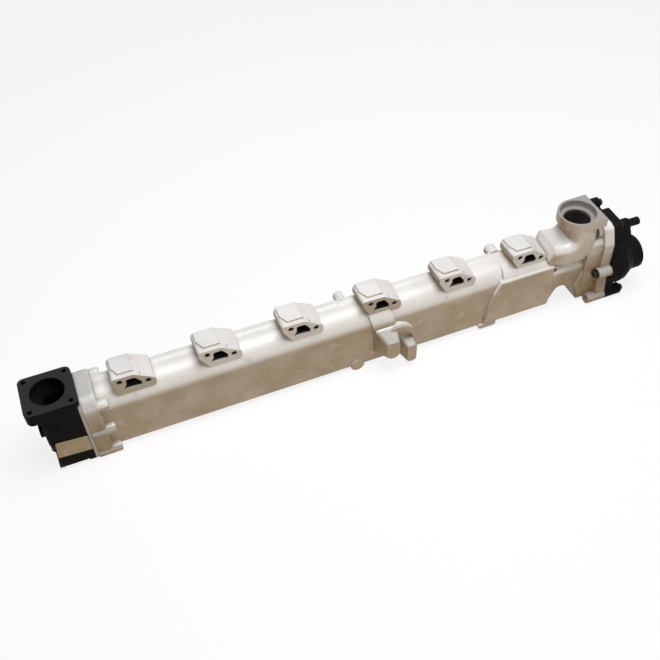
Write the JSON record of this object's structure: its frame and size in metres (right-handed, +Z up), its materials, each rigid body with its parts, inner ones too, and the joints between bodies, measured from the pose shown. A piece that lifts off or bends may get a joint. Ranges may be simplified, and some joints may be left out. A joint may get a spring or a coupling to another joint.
{
  "type": "exhaust gas recirculation cooler",
  "caption": "Long cast EGR cooler with a row of angled coolant ports, a square gas inlet flange, a round gas outlet seat and a black coolant cover.",
  "frame": {"origin": "midway between the two bolt holes of the first coolant port, on its machined face", "axes": "+X along the port row towards the coolant cover, -Y the way the ports face, +Z up as it rests"},
  "size_m": [1.254, 0.141, 0.219],
  "materials": {
    "housing_alloy": "satin, as cast, with machined port faces",
    "inlet_iron": "dark, as cast",
    "cover_iron": "black coating",
    "gasket_steel": "thin pressed sheet",
    "header_steel": "machined",
    "tube_steel": "drawn",
    "support_steel": "pressed sheet",
    "seal_rubber": "smooth",
    "bolt_steel": "black"
  },
  "bodies": {
    "root": {"cooler_housing": "housing_alloy", "inlet_casting": "inlet_iron", "inlet_gasket_outer": "gasket_steel", "inlet_header_plate": "header_steel", "inlet_gasket_inner": "gasket_steel", "gas_tube_01": "tube_steel", "gas_tube_02": "tube_steel", "gas_tube_03": "tube_steel", "gas_tube_04": "tube_steel", "gas_tube_05": "tube_steel", "gas_tube_06": "tube_steel", "gas_tube_07": "tube_steel", "gas_tube_08": "tube_steel", "gas_tube_09": "tube_steel", "gas_tube_10": "tube_steel", "tube_support_1": "support_steel", "tube_support_2": "support_steel", "tube_support_3": "support_steel", "tube_support_4": "support_steel", "outlet_header": "header_steel", "header_seal_1": "seal_rubber", "header_seal_2": "seal_rubber", "cover_gasket": "gasket_steel", "coolant_cover": "cover_iron", "inlet_bolts": "bolt_steel", "cover_bolts": "bolt_steel"}
  },
  "joints": []
}
